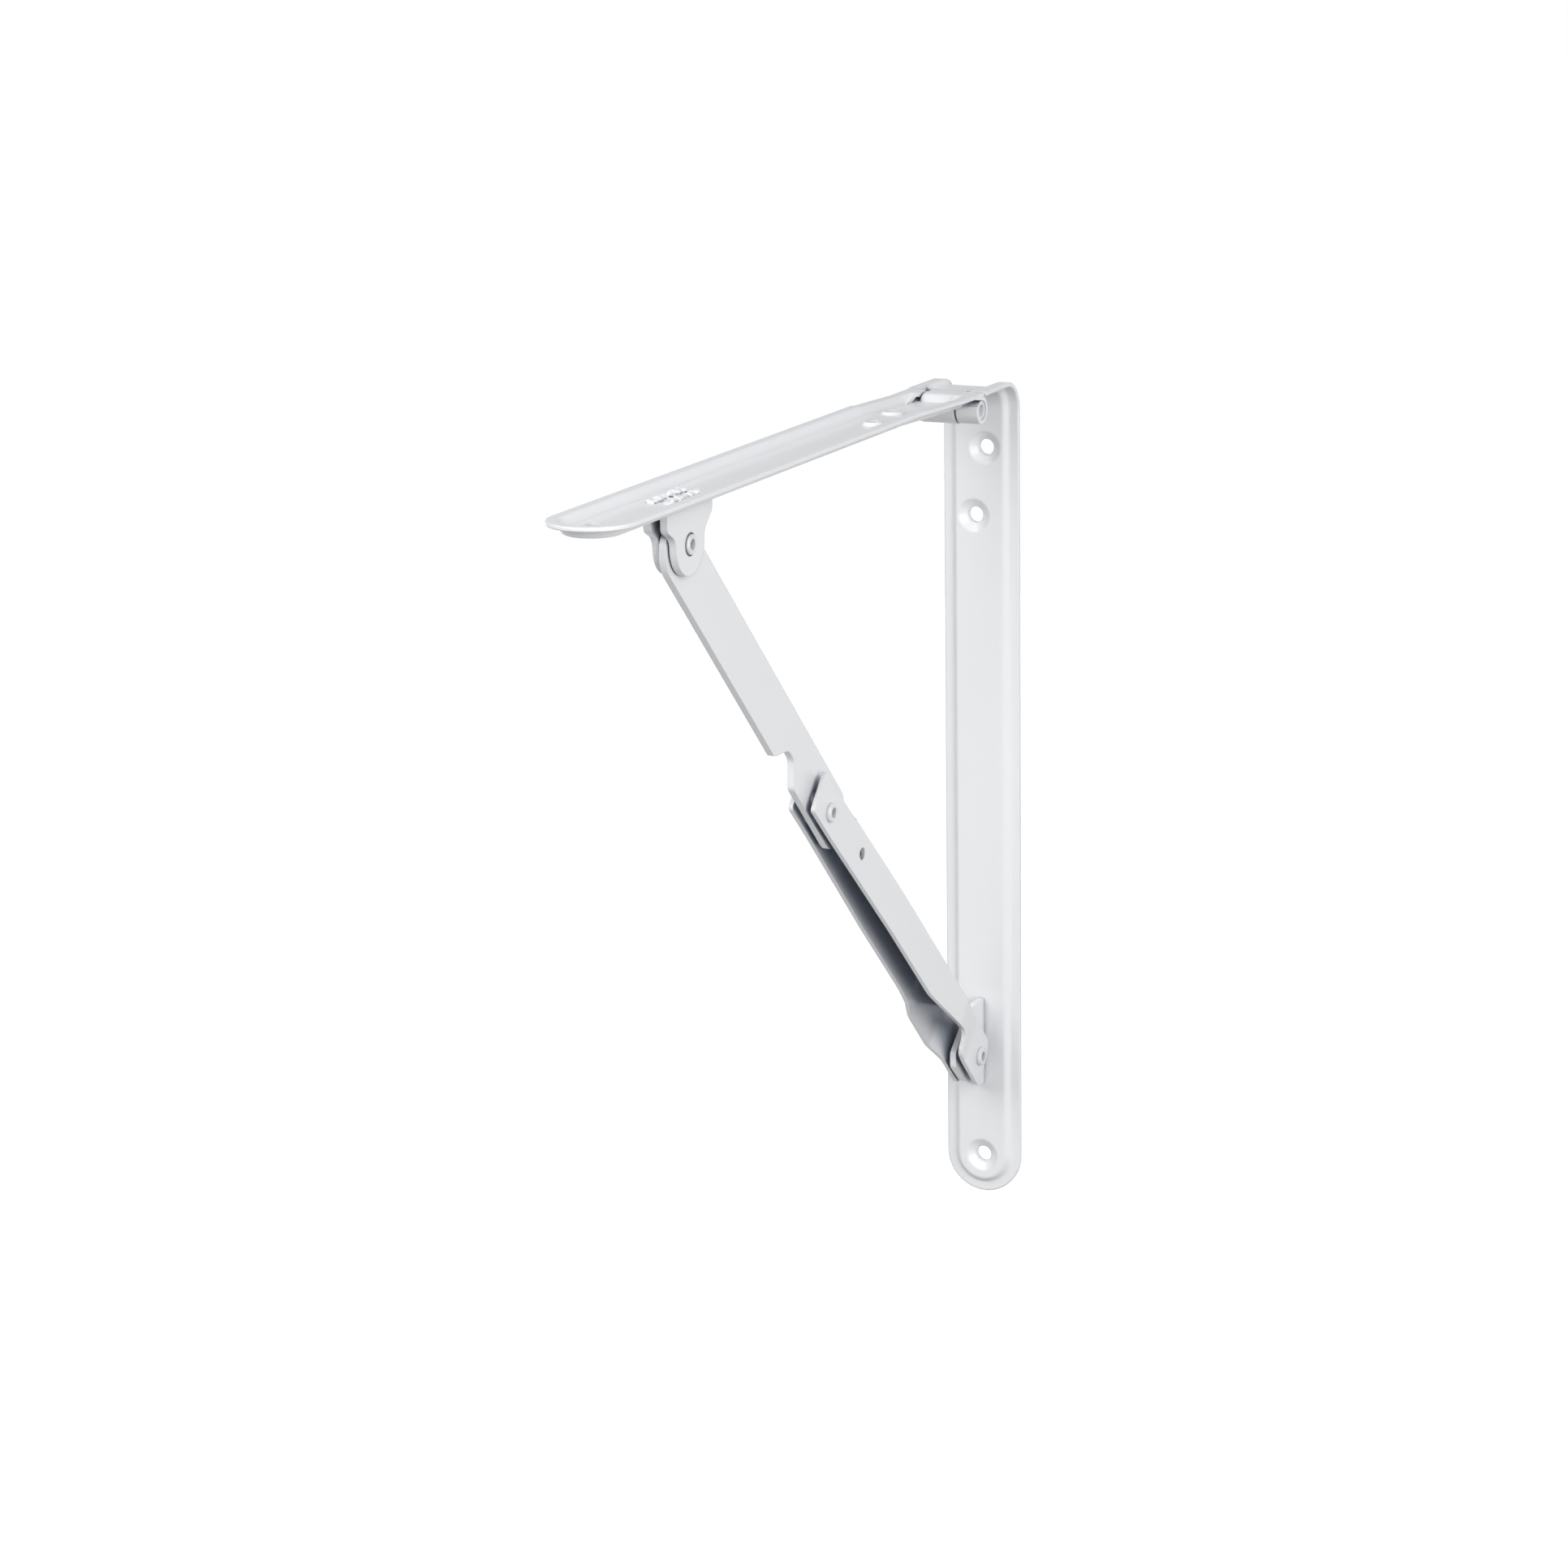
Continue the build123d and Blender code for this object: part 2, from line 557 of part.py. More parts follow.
# ---- strut channel ------------------------------------------------------------------
end_out = channel_length + knee_end
taper_low = channel_length - taper_start
taper_high = channel_length - taper_end
near_line = [
    (-foot_end, foot_half),
    (foot_hug, foot_half),
    (foot_hug + near_joggle, channel_half),
    (taper_low, channel_half),
    (taper_high, knee_half),
    (end_out, knee_half),
]
far_line = [
    (-foot_end, foot_half),
    (foot_hug, foot_half),
    (foot_hug + far_joggle, bulge_half),
    (bulge_end, bulge_half),
    (bulge_end + bulge_fade, channel_half),
    (taper_low, channel_half),
    (taper_high, knee_half),
    (end_out, knee_half),
]


def channel_plan_face(inset, overrun):
    """Plan of the channel between its joggled flanges, inset by the sheet or not."""
    near = [(x, y - inset) for x, y in near_line]
    far = [(x, inset - y) for x, y in reversed(far_line)]
    near[0] = (near[0][0] - overrun, near[0][1])
    near[-1] = (near[-1][0] + overrun, near[-1][1])
    far[0] = (far[0][0] + overrun, far[0][1])
    far[-1] = (far[-1][0] - overrun, far[-1][1])
    with BuildSketch() as plan:
        with BuildLine():
            Polyline(*near, *far, close=True)
        make_face()
        bends = [v for v in plan.vertices() if foot_hug - joint < v.X < taper_low - joint]
        fillet(bends, joggle_round)
    return plan.sketch_local


near_corners = [
    (-foot_end, -channel_back, foot_heel),
    (-foot_end, foot_front, knee_heel),
    (scoop_wall, foot_front - foot_fall, hollow_corner),
    (scoop_wall + scoop_wall_lean, scoop_level, hollow_corner),
    (scoop_run, channel_front, edge_sweep),
    (end_out, channel_front, knee_heel),
    (end_out, -channel_back, knee_heel),
]
far_corners = [
    (-foot_end, -channel_back, foot_heel),
    (-foot_end, foot_front, knee_heel),
    (far_edge_end, foot_front - foot_fall, 0),
    (far_edge_run, channel_front, 0),
    (end_out, channel_front, knee_heel),
    (end_out, -channel_back, knee_heel),
]
beyond = bulge_half + channel_sheet
with BuildPart() as flange_outline:
    add(blank(channel_plane, near_corners, 0, beyond))
    add(blank(channel_plane, far_corners, -beyond, 0))

# where the bar's tail meets the web's upper end when the strut is locked
tail_foot = channel_plane.to_local_coords(bar_plane.from_local_coords(Vector(-bar_tail, 0, 0)))
tail_head = channel_plane.to_local_coords(bar_plane.from_local_coords(Vector(-bar_tail, -1, 0)))
web_stops = []
for level in (-channel_back, -channel_back + channel_sheet):
    share = (level - tail_foot.Y) / (tail_head.Y - tail_foot.Y)
    web_stops.append(tail_foot.X + share * (tail_head.X - tail_foot.X))
web_end = min(web_stops) - stop_gap

deep = channel_back + foot_front + channel_sheet
with BuildPart() as strut_channel:
    with BuildSketch(channel_plan.offset(channel_back)):
        add(channel_plan_face(0, 0))
    extrude(amount=-deep)
    back_face = strut_channel.faces().sort_by(Axis(foot_pivot, channel_plan.z_dir))[-1]
    fillet(back_face.edges().filter_by(Axis.X, reverse=True), web_bend)
    with BuildSketch(channel_plan.offset(channel_back - channel_sheet)):
        add(channel_plan_face(channel_sheet, 1))
    extrude(amount=-deep, mode=Mode.SUBTRACT)
    # each flange is trimmed to its own outline
    add(flange_outline.part, mode=Mode.INTERSECT)
    # the web stops clear of the lug and of the bar's tail
    with BuildSketch(channel_plan.offset(channel_back)):
        for low, high in ((-foot_end - 1, web_start), (web_end, end_out + 1)):
            with Locations(((low + high) / 2, 0)):
                Rectangle(high - low, 2 * beyond)
    extrude(amount=-channel_sheet, mode=Mode.SUBTRACT)
    with Locations(channel_plane):
        with Locations((0, 0), (channel_length, 0)):
            Cylinder(shank + seat_clearance, 4 * channel_half, mode=Mode.SUBTRACT)
    with Locations(channel_plane.offset(channel_half)):
        with Locations((channel_length - channel_hole_at, -channel_hole_in)):
            Cylinder(channel_hole / 2, 2 * channel_half, mode=Mode.SUBTRACT)


def set_rivet(centre, under_near, under_far):
    """A semi-tubular rivet along X, its heads bearing at the two given distances."""
    top = under_near + ring_height
    with BuildPart() as rivet:
        with BuildSketch(Plane(origin=centre, x_dir=(0, 1, 0), z_dir=(0, 0, 1))):
            with BuildLine():
                Polyline(
                    (0, under_far + head_height),
                    (head_diameter / 2 - head_chamfer, under_far + head_height),
                    (head_diameter / 2, under_far + head_height - head_chamfer),
                    (head_diameter / 2, under_far),
                    (shank, under_far),
                    (shank, -under_near),
                    (ring_diameter / 2, -under_near),
                    (ring_diameter / 2, ring_chamfer - top),
                    (ring_diameter / 2 - ring_chamfer, -top),
                    (rivet_hollow / 2, -top),
                    (rivet_hollow / 2, rivet_hollow_depth - top),
                    (0, rivet_hollow_depth - top),
                    close=True,
                )
            make_face()
        revolve(axis=Axis(centre, (1, 0, 0)))
    return rivet.part


ear_outer = ear_gap / 2 + ear_sheet
arm_rivet = set_rivet(arm_pivot, ear_outer - ear_recess_depth, ear_outer)
knee_rivet = set_rivet(knee, knee_half, knee_half)
foot_rivet = set_rivet(foot_pivot, foot_half, foot_half)


def spacer(centre, start, end):
    """A washer on a rivet, between two distances along X."""
    with BuildPart() as washer:
        with BuildSketch(Plane(origin=centre + Vector(start, 0, 0), z_dir=(1, 0, 0))):
            Circle(washer_diameter / 2)
            Circle(shank + seat_clearance, mode=Mode.SUBTRACT)
        extrude(amount=end - start)
    return washer.part


knee_washer_near = spacer(knee, bar_sheet / 2 + slip, knee_half - channel_sheet)
knee_washer_far = spacer(knee, channel_sheet - knee_half, -bar_sheet / 2 - slip)
foot_washer_near = spacer(foot_pivot, lug_sheet / 2 + slip, foot_half - channel_sheet)
foot_washer_far = spacer(foot_pivot, channel_sheet - foot_half, -lug_sheet / 2 - slip)

# ---- hinge pin ----------------------------------------------------------------------
pin_end = half - pin_short
with BuildPart() as hinge_pin:
    with BuildSketch(Plane(origin=(-pin_end, pin_y, pin_z), z_dir=(1, 0, 0))):
        Circle(pin_diameter / 2)
    extrude(amount=2 * pin_end)
    for side in (1, -1):
        with BuildSketch(Plane(origin=(side * pin_end, pin_y, pin_z), z_dir=(side, 0, 0))):
            Circle(pin_bore / 2)
        extrude(amount=-pin_bore_depth, mode=Mode.SUBTRACT)

wall_plate.part.label = "wall_plate"
export_step(wall_plate.part, "parts/wall_plate.step")
foot_lug.part.label = "foot_lug"
export_step(foot_lug.part, "parts/foot_lug.step")
hinge_pin.part.label = "hinge_pin"
export_step(hinge_pin.part, "parts/hinge_pin.step")
shelf_arm.part.label = "shelf_arm"
export_step(shelf_arm.part, "parts/shelf_arm.step")
ear_left.label = "clevis_ear_left"
export_step(ear_left, "parts/clevis_ear_left.step")
ear_right.label = "clevis_ear_right"
export_step(ear_right, "parts/clevis_ear_right.step")
arm_rivet.label = "arm_rivet"
export_step(arm_rivet, "parts/arm_rivet.step")
strut_bar.part.label = "strut_bar"
export_step(strut_bar.part, "parts/strut_bar.step")
strut_channel.part.label = "strut_channel"
export_step(strut_channel.part, "parts/strut_channel.step")
knee_rivet.label = "knee_rivet"
export_step(knee_rivet, "parts/knee_rivet.step")
foot_rivet.label = "foot_rivet"
export_step(foot_rivet, "parts/foot_rivet.step")
knee_washer_near.label = "knee_washer_near"
export_step(knee_washer_near, "parts/knee_washer_near.step")
knee_washer_far.label = "knee_washer_far"
export_step(knee_washer_far, "parts/knee_washer_far.step")
foot_washer_near.label = "foot_washer_near"
export_step(foot_washer_near, "parts/foot_washer_near.step")
foot_washer_far.label = "foot_washer_far"
export_step(foot_washer_far, "parts/foot_washer_far.step")
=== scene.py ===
"""Finish, light and camera of a folding shelf bracket in pressed, powder-coated steel."""

import math

import bpy
from bpy.props import FloatProperty, FloatVectorProperty, IntProperty, PointerProperty
from mathutils import Matrix, Vector


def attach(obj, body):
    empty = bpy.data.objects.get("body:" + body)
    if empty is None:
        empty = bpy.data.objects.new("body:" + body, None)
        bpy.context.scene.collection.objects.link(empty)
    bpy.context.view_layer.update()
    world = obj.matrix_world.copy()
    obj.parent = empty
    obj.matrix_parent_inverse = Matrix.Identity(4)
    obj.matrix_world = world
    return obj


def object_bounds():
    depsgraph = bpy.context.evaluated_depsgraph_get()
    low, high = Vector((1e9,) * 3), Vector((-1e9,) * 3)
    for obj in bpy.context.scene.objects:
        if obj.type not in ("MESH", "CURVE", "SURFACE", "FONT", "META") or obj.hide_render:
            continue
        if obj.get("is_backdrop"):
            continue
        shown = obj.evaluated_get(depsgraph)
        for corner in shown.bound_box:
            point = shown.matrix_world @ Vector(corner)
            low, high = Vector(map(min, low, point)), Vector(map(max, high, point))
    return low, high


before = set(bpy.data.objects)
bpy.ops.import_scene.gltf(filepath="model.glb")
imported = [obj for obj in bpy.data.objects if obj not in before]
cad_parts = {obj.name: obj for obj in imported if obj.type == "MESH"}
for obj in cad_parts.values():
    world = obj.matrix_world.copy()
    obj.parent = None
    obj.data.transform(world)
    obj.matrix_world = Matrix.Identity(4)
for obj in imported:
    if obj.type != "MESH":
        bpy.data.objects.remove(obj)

bl_info = {
    "name": "Folding Shelf Bracket",
    "version": (1, 0, 0),
    "blender": (4, 5, 0),
    "location": "3D View > Sidebar > Bracket",
    "description": "Coats, dresses and lights a folding shelf bracket of pressed steel",
    "category": "Object",
}

LOW, HIGH = (Vector(corner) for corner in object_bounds())
WHITE = (1.0, 1.0, 1.0, 1.0)

# Patterns of the coat: features per metre, detail and roughness
DRIFT = (14.0, 3.0, 0.55)  # slow change over a piece
RIPPLE = (540.0, 1.5, 0.45)  # flow of the film
GRAIN = (2600.0, 2.0, 0.5)  # grain of the powder
PITS = (900.0, 3.0, 0.6)  # pinholes
SCUFFS = (330.0, 4.0, 0.65)  # scuffed patches

# Where each pattern starts to show and where it shows in full
DRIFT_RANGE = (0.3, 0.7)
GRAIN_RANGE = (0.62, 0.8)
PIT_RANGE = (0.68, 0.78)
SCUFF_RANGE = (0.5, 0.66)
# painted shade: where the darkening of closed-in places starts and where it is full
PAINTED_SHADE_RANGE = (0.33, 0.67)

# Tones of the patterns, as shares of the coat's own colour
DRIFT_TONE = 0.982
FILM_TONE = 0.93
SCUFF_TONE = 0.62

# How much of each pattern goes into the film's tone and into its height
GRAIN_IN_TONE, PITS_IN_TONE = 0.35, 0.25
RIPPLE_IN_HEIGHT, GRAIN_IN_HEIGHT, PITS_IN_HEIGHT = 0.8, 0.12, 0.35
FILM_HEIGHT = 0.00006  # of the film's relief, in metres

# Gloss of the coat, with what drift and ripple add to its roughness
COAT_ROUGHNESS, DRIFT_ROUGHNESS, RIPPLE_ROUGHNESS = 0.28, 0.1, 0.05
COAT_IOR = 1.5
GLAZE_WEIGHT, GLAZE_ROUGHNESS = 0.45, 0.09

# Rays from each point that look for gaps, for the painted shade, and for edges
PAINTED_SHADE_SAMPLES = 8
EDGE_SAMPLES = 6

# How far the scuffed patches show, on the rivets, pin and washers and on the hammered heads
RIVET_WEAR = 0.35
HEAD_WEAR = 0.3

# Hammered heads: points along each side of the block they start from, and how often it
# is smoothed
HEAD_POINTS = {"Vertices X": 4, "Vertices Y": 6, "Vertices Z": 4}
HEAD_LEVEL = 2
HEAD_TURN = (0.08, 0.1, 0.22)  # largest random turn about each axis, in radians
HEAD_SMALLEST = (0.92, 0.86, 0.85)  # bounds of their random scale
HEAD_LARGEST = (1.12, 1.08, 1.1)
DENTS = {"Scale": 380.0, "Detail": 2.5, "Roughness": 0.6}
DENT_RANGE = (0.35, 0.65)

# Room: its colour, and where its light changes from below to above and from left to right
ROOM_COLOUR = (0.95, 0.97, 1.0, 1.0)
ROOM_RISE = (-0.5, 0.6)
ROOM_SIDE = (-0.6, 0.8)
FLOOR_REACH = 6.0  # from the origin to each side, in metres

# Lamps: place from the middle of the bracket, and length of a side, in metres
KEY_PLACE, KEY_SIZE = Vector((-0.55, -1.1, 1.0)), 1.4
FILL_PLACE, FILL_SIZE = Vector((1.5, -1.0, 0.5)), 1.5
BACK_PLACE, BACK_SIZE = Vector((-0.9, 1.5, -0.6)), 1.5

# Camera: its turn to the left, its look downwards and its lean, in radians, and how far
# right, up and ahead of it the middle of the plate's back lies, at the bracket's full
# height, in metres
CAMERA_TURN, CAMERA_RISE, CAMERA_ROLL = 0.4376510, 0.2417497, -0.0149092
TOP_RIGHT, TOP_UP, TOP_AHEAD = 0.07349044, 0.15219731, 1.67842982
SENSOR_WIDTH = 36.0  # in millimetres


# ---------------------------------------------------------------------------
# Shader maths

class Wire:
    """A socket that adds Math nodes to its graph when Python's operators are used on it."""

    def __init__(self, graph, socket):
        self.graph = graph
        self.socket = socket

    def _do(self, operation, *values):
        out = self.graph.add("ShaderNodeMath", {"operation": operation}, values)
        return Wire(self.graph, out.outputs[0])

    def __add__(self, other):
        return self._do("ADD", self, other)

    def __radd__(self, other):
        return self._do("ADD", other, self)

    def __sub__(self, other):
        return self._do("SUBTRACT", self, other)

    def __rsub__(self, other):
        return self._do("SUBTRACT", other, self)

    def __mul__(self, other):
        return self._do("MULTIPLY", self, other)

    def __rmul__(self, other):
        return self._do("MULTIPLY", other, self)

    def between(self, low, high):
        """0 below low, 1 above high, and a smooth rise from one to the other."""
        out = self.graph.add(
            "ShaderNodeMapRange",
            {"interpolation_type": "SMOOTHSTEP"},
            {"Value": self, "From Min": low, "From Max": high},
        )
        return Wire(self.graph, out.outputs["Result"])


class Graph:
    """A node tree and the one method that adds nodes to it."""

    def __init__(self, tree):
        self.tree = tree
        self.tree.nodes.clear()

    def add(self, kind, settings=None, values=None):
        """Adds a node: its settings first, then a value or a link for each named socket."""
        node = self.tree.nodes.new(kind)
        for key, value in (settings or {}).items():
            setattr(node, key, value)
        pairs = values.items() if isinstance(values, dict) else enumerate(values or ())
        for key, value in pairs:
            if isinstance(value, (Wire, bpy.types.NodeSocket)):
                self.link(value, node.inputs[key])
            else:
                node.inputs[key].default_value = value
        return node

    def link(self, output, entry):
        """Links a Wire or a node's output to an input."""
        self.tree.links.new(output.socket if isinstance(output, Wire) else output, entry)


class Finish(Graph):
    """A material, its output node and the place that its patterns follow."""

    def __init__(self, name):
        self.material = bpy.data.materials.new(name)
        self.material.use_nodes = True
        super().__init__(self.material.node_tree)
        self.output = self.add("ShaderNodeOutputMaterial")
        self.place = self.add("ShaderNodeTexCoord").outputs["Object"]

    def noise(self, scale, detail, roughness):
        """Noise from 0 to 1 with that many features per metre."""
        out = self.add(
            "ShaderNodeTexNoise",
            {},
            {"Vector": self.place, "Scale": scale, "Detail": detail, "Roughness": roughness},
        )
        return Wire(self, out.outputs["Fac"])

    def blend(self, factor, first, second):
        """A colour between two, each a colour or a link."""
        # a Mix node's inputs 6 and 7 and its output 2 are the ones for colours
        out = self.add(
            "ShaderNodeMix",
            {"data_type": "RGBA", "clamp_factor": True},
            {"Factor": factor, 6: first, 7: second},
        )
        return Wire(self, out.outputs[2])


def tone(colour, share):
    """A share of a colour, as the four numbers a socket takes."""
    return tuple(min(1.0, channel * share) for channel in colour[:3]) + (1.0,)


def powder_coat(name, colour, settings, edge, reach, wear=0.0):
    """Glossy powder coat: a rippled film, round on each edge, scuffed, with painted shade in
    gaps.
    """
    finish = Finish(name)
    drift = finish.noise(*DRIFT)
    ripple = finish.noise(*RIPPLE)
    grain = finish.noise(*GRAIN)
    pits = finish.noise(*PITS).between(*PIT_RANGE)
    cloud = finish.blend(
        drift.between(*DRIFT_RANGE), tone(colour, DRIFT_TONE), tone(colour, 1.0)
    )
    spots = grain.between(*GRAIN_RANGE) * GRAIN_IN_TONE + pits * PITS_IN_TONE
    film = finish.blend(spots, cloud, tone(colour, FILM_TONE))
    scuffs = finish.noise(*SCUFFS).between(*SCUFF_RANGE) * wear
    film = finish.blend(scuffs, film, tone(colour, SCUFF_TONE))

    # painted shade: the coat's colour darkens by how closed in the surface is when the bracket
    # is open
    open_air = finish.add(
        "ShaderNodeAmbientOcclusion", {"samples": PAINTED_SHADE_SAMPLES}, {"Distance": reach}
    )
    closed = 1.0 - Wire(finish, open_air.outputs["AO"])
    film = finish.blend(
        closed.between(*PAINTED_SHADE_RANGE) * settings.painted_shade_depth, film, settings.painted_shade_colour
    )

    height = ripple * RIPPLE_IN_HEIGHT + grain * GRAIN_IN_HEIGHT - pits * PITS_IN_HEIGHT
    soft = finish.add("ShaderNodeBevel", {"samples": EDGE_SAMPLES}, {"Radius": edge})
    bump = finish.add(
        "ShaderNodeBump",
        {},
        {
            "Strength": settings.peel_strength,
            "Distance": FILM_HEIGHT,
            "Height": height,
            "Normal": soft.outputs["Normal"],
        },
    )
    shader = finish.add(
        "ShaderNodeBsdfPrincipled",
        {},
        {
            "Base Color": film,
            "Roughness": COAT_ROUGHNESS + DRIFT_ROUGHNESS * drift + RIPPLE_ROUGHNESS * ripple,
            "IOR": COAT_IOR,
            "Coat Weight": GLAZE_WEIGHT,
            "Coat Roughness": GLAZE_ROUGHNESS,
            "Normal": bump.outputs["Normal"],
        },
    )
    finish.link(shader.outputs[0], finish.output.inputs["Surface"])
    return finish.material


def nodes_named(word):
    """Names of the frame nodes that contain a word."""
    return [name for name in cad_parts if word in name]


def coat(names, material):
    """Gives every material slot of these frame nodes the finish."""
    for name in names:
        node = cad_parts[name]
        if not node.material_slots:
            node.data.materials.append(material)
        for slot in node.material_slots:
            slot.material = material


# ---------------------------------------------------------------------------
# Sizes and colours a user would change

class CoatSettings(bpy.types.PropertyGroup):
    """Colours and texture of the powder coat, and of the painted shade in its gaps."""

    sheet_colour: FloatVectorProperty(
        name="Sheet colour",
        description="Colour of the coat on the pressed and cut sheet pieces",
        default=(0.86, 0.865, 0.87),
        size=3,
        min=0.0,
        max=1.0,
        subtype="COLOR",
    )
    rivet_colour: FloatVectorProperty(
        name="Rivet colour",
        description="Colour of the coat on the rivets and on the hinge pin",
        default=(0.82, 0.825, 0.83),
        size=3,
        min=0.0,
        max=1.0,
        subtype="COLOR",
    )
    # painted shade: colour that surfaces are painted with deep in narrow gaps, where shade
    # falls
    painted_shade_colour: FloatVectorProperty(
        name="Gap colour",
        description="Colour that surfaces turn to deep in narrow gaps",
        default=(0.19, 0.22, 0.285, 1.0),
        size=4,
        min=0.0,
        max=1.0,
        subtype="COLOR",
    )
    # painted shade: how near other surfaces must be for it to show, here and in the three
    # reaches below
    painted_shade_reach: FloatProperty(
        name="Gap reach",
        description="How near another surface has to be for a gap to darken",
        default=0.0055,
        min=0.0,
        unit="LENGTH",
    )
    rivet_shade_reach: FloatProperty(
        name="Rivet reach",
        description="The same for the hollows of the rivets and the pin",
        default=0.003,
        min=0.0,
        unit="LENGTH",
    )
    peen_shade_reach: FloatProperty(
        name="Peen reach",
        description="The same for the folds of the hammered heads",
        default=0.002,
        min=0.0,
        unit="LENGTH",
    )
    channel_shade_reach: FloatProperty(
        name="Channel reach",
        description="The same for the strut's channel, which is wide and deep",
        default=0.018,
        min=0.0,
        unit="LENGTH",
    )
    # painted shade: how far the deepest gaps are darkened
    painted_shade_depth: FloatProperty(
        name="Gap depth",
        description="How far the deepest gaps turn to the gap colour",
        default=0.9,
        min=0.0,
        max=1.0,
        subtype="FACTOR",
    )
    plate_edge: FloatProperty(
        name="Plate edge",
        description="Radius of the coated edges and steps of the wall plate",
        default=0.0011,
        min=0.0,
        unit="LENGTH",
    )
    sheet_edge: FloatProperty(
        name="Sheet edge",
        description="Radius that the coat leaves on the edges of the arm and of the channel",
        default=0.00055,
        min=0.0,
        unit="LENGTH",
    )
    rivet_edge: FloatProperty(
        name="Rivet edge",
        description="Radius of the edges of rivets, pin, washers and hammered heads",
        default=0.0003,
        min=0.0,
        unit="LENGTH",
    )
    ear_edge: FloatProperty(
        name="Ear edge",
        description="Radius of the tumbled edges of the ears, the lug and the bar",
        default=0.0006,
        min=0.0,
        unit="LENGTH",
    )
    peel_strength: FloatProperty(
        name="Ripple",
        description="How strongly the flowed film ripples",
        default=0.35,
        min=0.0,
        max=1.0,
        subtype="FACTOR",
    )


class PeeningSettings(bpy.types.PropertyGroup):
    """Size, place and roughness of the hammered tenon heads."""

    length: FloatProperty(
        name="Length",
        description="Length of each head of the ears",
        default=0.0062,
        min=0.001,
        unit="LENGTH",
    )
    lug_length: FloatProperty(
        name="Lug length",
        description="Length of each head of the lug",
        default=0.0078,
        min=0.001,
        unit="LENGTH",
    )
    width: FloatProperty(
        name="Width",
        description="Width of a head across the sheet of its tenon",
        default=0.0035,
        min=0.001,
        unit="LENGTH",
    )
    height: FloatProperty(
        name="Height",
        description="Full height of a head, the part that is sunk in its slot included",
        default=0.0023,
        min=0.0005,
        unit="LENGTH",
    )
    sunk: FloatProperty(
        name="Sunk",
        description="How far the middle of a head lies below the end of its tenon",
        default=0.0009,
        min=0.0,
        unit="LENGTH",
    )
    roughening: FloatProperty(
        name="Roughening",
        description="How far the hammer has pushed the heads out of shape",
        default=0.00045,
        min=0.0,
        unit="LENGTH",
    )
    ear_shift: FloatProperty(
        name="Ear shift",
        description="How far the ears' middle tenon lies outward of their rivet",
        default=0.0028,
        unit="LENGTH",
    )
    ear_pitch: FloatProperty(
        name="Ear pitch",
        description="Distance from one tenon of an ear to the next",
        default=0.0081,
        min=0.0,
        unit="LENGTH",
    )
    lug_pitch: FloatProperty(
        name="Lug pitch",
        description="Distance between the two tenons of the lug",
        default=0.011,
        min=0.0,
        unit="LENGTH",
    )
    seed: IntProperty(
        name="Seed",
        description="Chooses the turns and sizes of the heads",
        default=4,
        min=0,
    )


class StageSettings(bpy.types.PropertyGroup):
    """Floor, light and camera."""

    floor_drop: FloatProperty(
        name="Floor drop",
        description="How far the floor lies below the bracket",
        default=0.12,
        min=0.0,
        unit="LENGTH",
    )
    floor_colour: FloatVectorProperty(
        name="Floor colour",
        description="Colour of the floor's paper",
        default=(0.2, 0.2, 0.21, 1.0),
        size=4,
        min=0.0,
        max=1.0,
        subtype="COLOR",
    )
    floor_lift: FloatProperty(
        name="Floor lift",
        description="Strength of the floor's own light where it is looked at",
        default=0.92,
        min=0.0,
    )
    room_high: FloatProperty(
        name="Room above",
        description="Strength of the room's light from above",
        default=0.58,
        min=0.0,
    )
    room_low: FloatProperty(
        name="Room below",
        description="Strength of the room's light from below",
        default=0.56,
        min=0.0,
    )
    room_left: FloatProperty(
        name="Room on the left",
        description="How bright the room is on its left, as a share of its right",
        default=0.85,
        min=0.0,
        max=1.0,
        subtype="FACTOR",
    )
    key_power: FloatProperty(
        name="Key lamp",
        description="Power of the lamp high on the left",
        default=14.5,
        min=0.0,
        unit="POWER",
    )
    fill_power: FloatProperty(
        name="Fill lamp",
        description="Power of the lamp on the right",
        default=22.5,
        min=0.0,
        unit="POWER",
    )
    back_power: FloatProperty(
        name="Back lamp",
        description="Power of the lamp behind the wall plate",
        default=10.0,
        min=0.0,
        unit="POWER",
    )
    lens: FloatProperty(
        name="Lens",
        description="Focal length of the camera on a 36 mm sensor",
        default=104.13,
        min=10.0,
        unit="CAMERA",
    )


class CoatSheets(bpy.types.Operator):
    """Coats the pressed sheets: the wall plate, the arm and the strut's channel"""

    bl_idname = "bracket.coat_sheets"
    bl_label = "Coat the pressed sheets"

    def execute(self, context):
        settings = context.scene.bracket_coat
        # each sheet with its edge radius and the reach of its painted shade
        for node, edge, reach in (
            ("wall_plate", settings.plate_edge, settings.painted_shade_reach),
            ("shelf_arm", settings.sheet_edge, settings.painted_shade_reach),
            ("strut_channel", settings.sheet_edge, settings.channel_shade_reach),
        ):
            name = node + "_coat"
            coat([node], powder_coat(name, settings.sheet_colour, settings, edge, reach))
        return {"FINISHED"}


class CoatBlanks(bpy.types.Operator):
    """Coats the flat blanks with their tumbled edges: the strut's bar, the ears and the lug"""

    bl_idname = "bracket.coat_blanks"
    bl_label = "Coat the blanks"

    def execute(self, context):
        settings = context.scene.bracket_coat
        edge = settings.ear_edge
        # reach of the painted shade in gaps
        reach = settings.painted_shade_reach
        material = powder_coat("blank_coat", settings.sheet_colour, settings, edge, reach)
        coat(["strut_bar", "foot_lug"] + nodes_named("clevis_ear"), material)
        return {"FINISHED"}


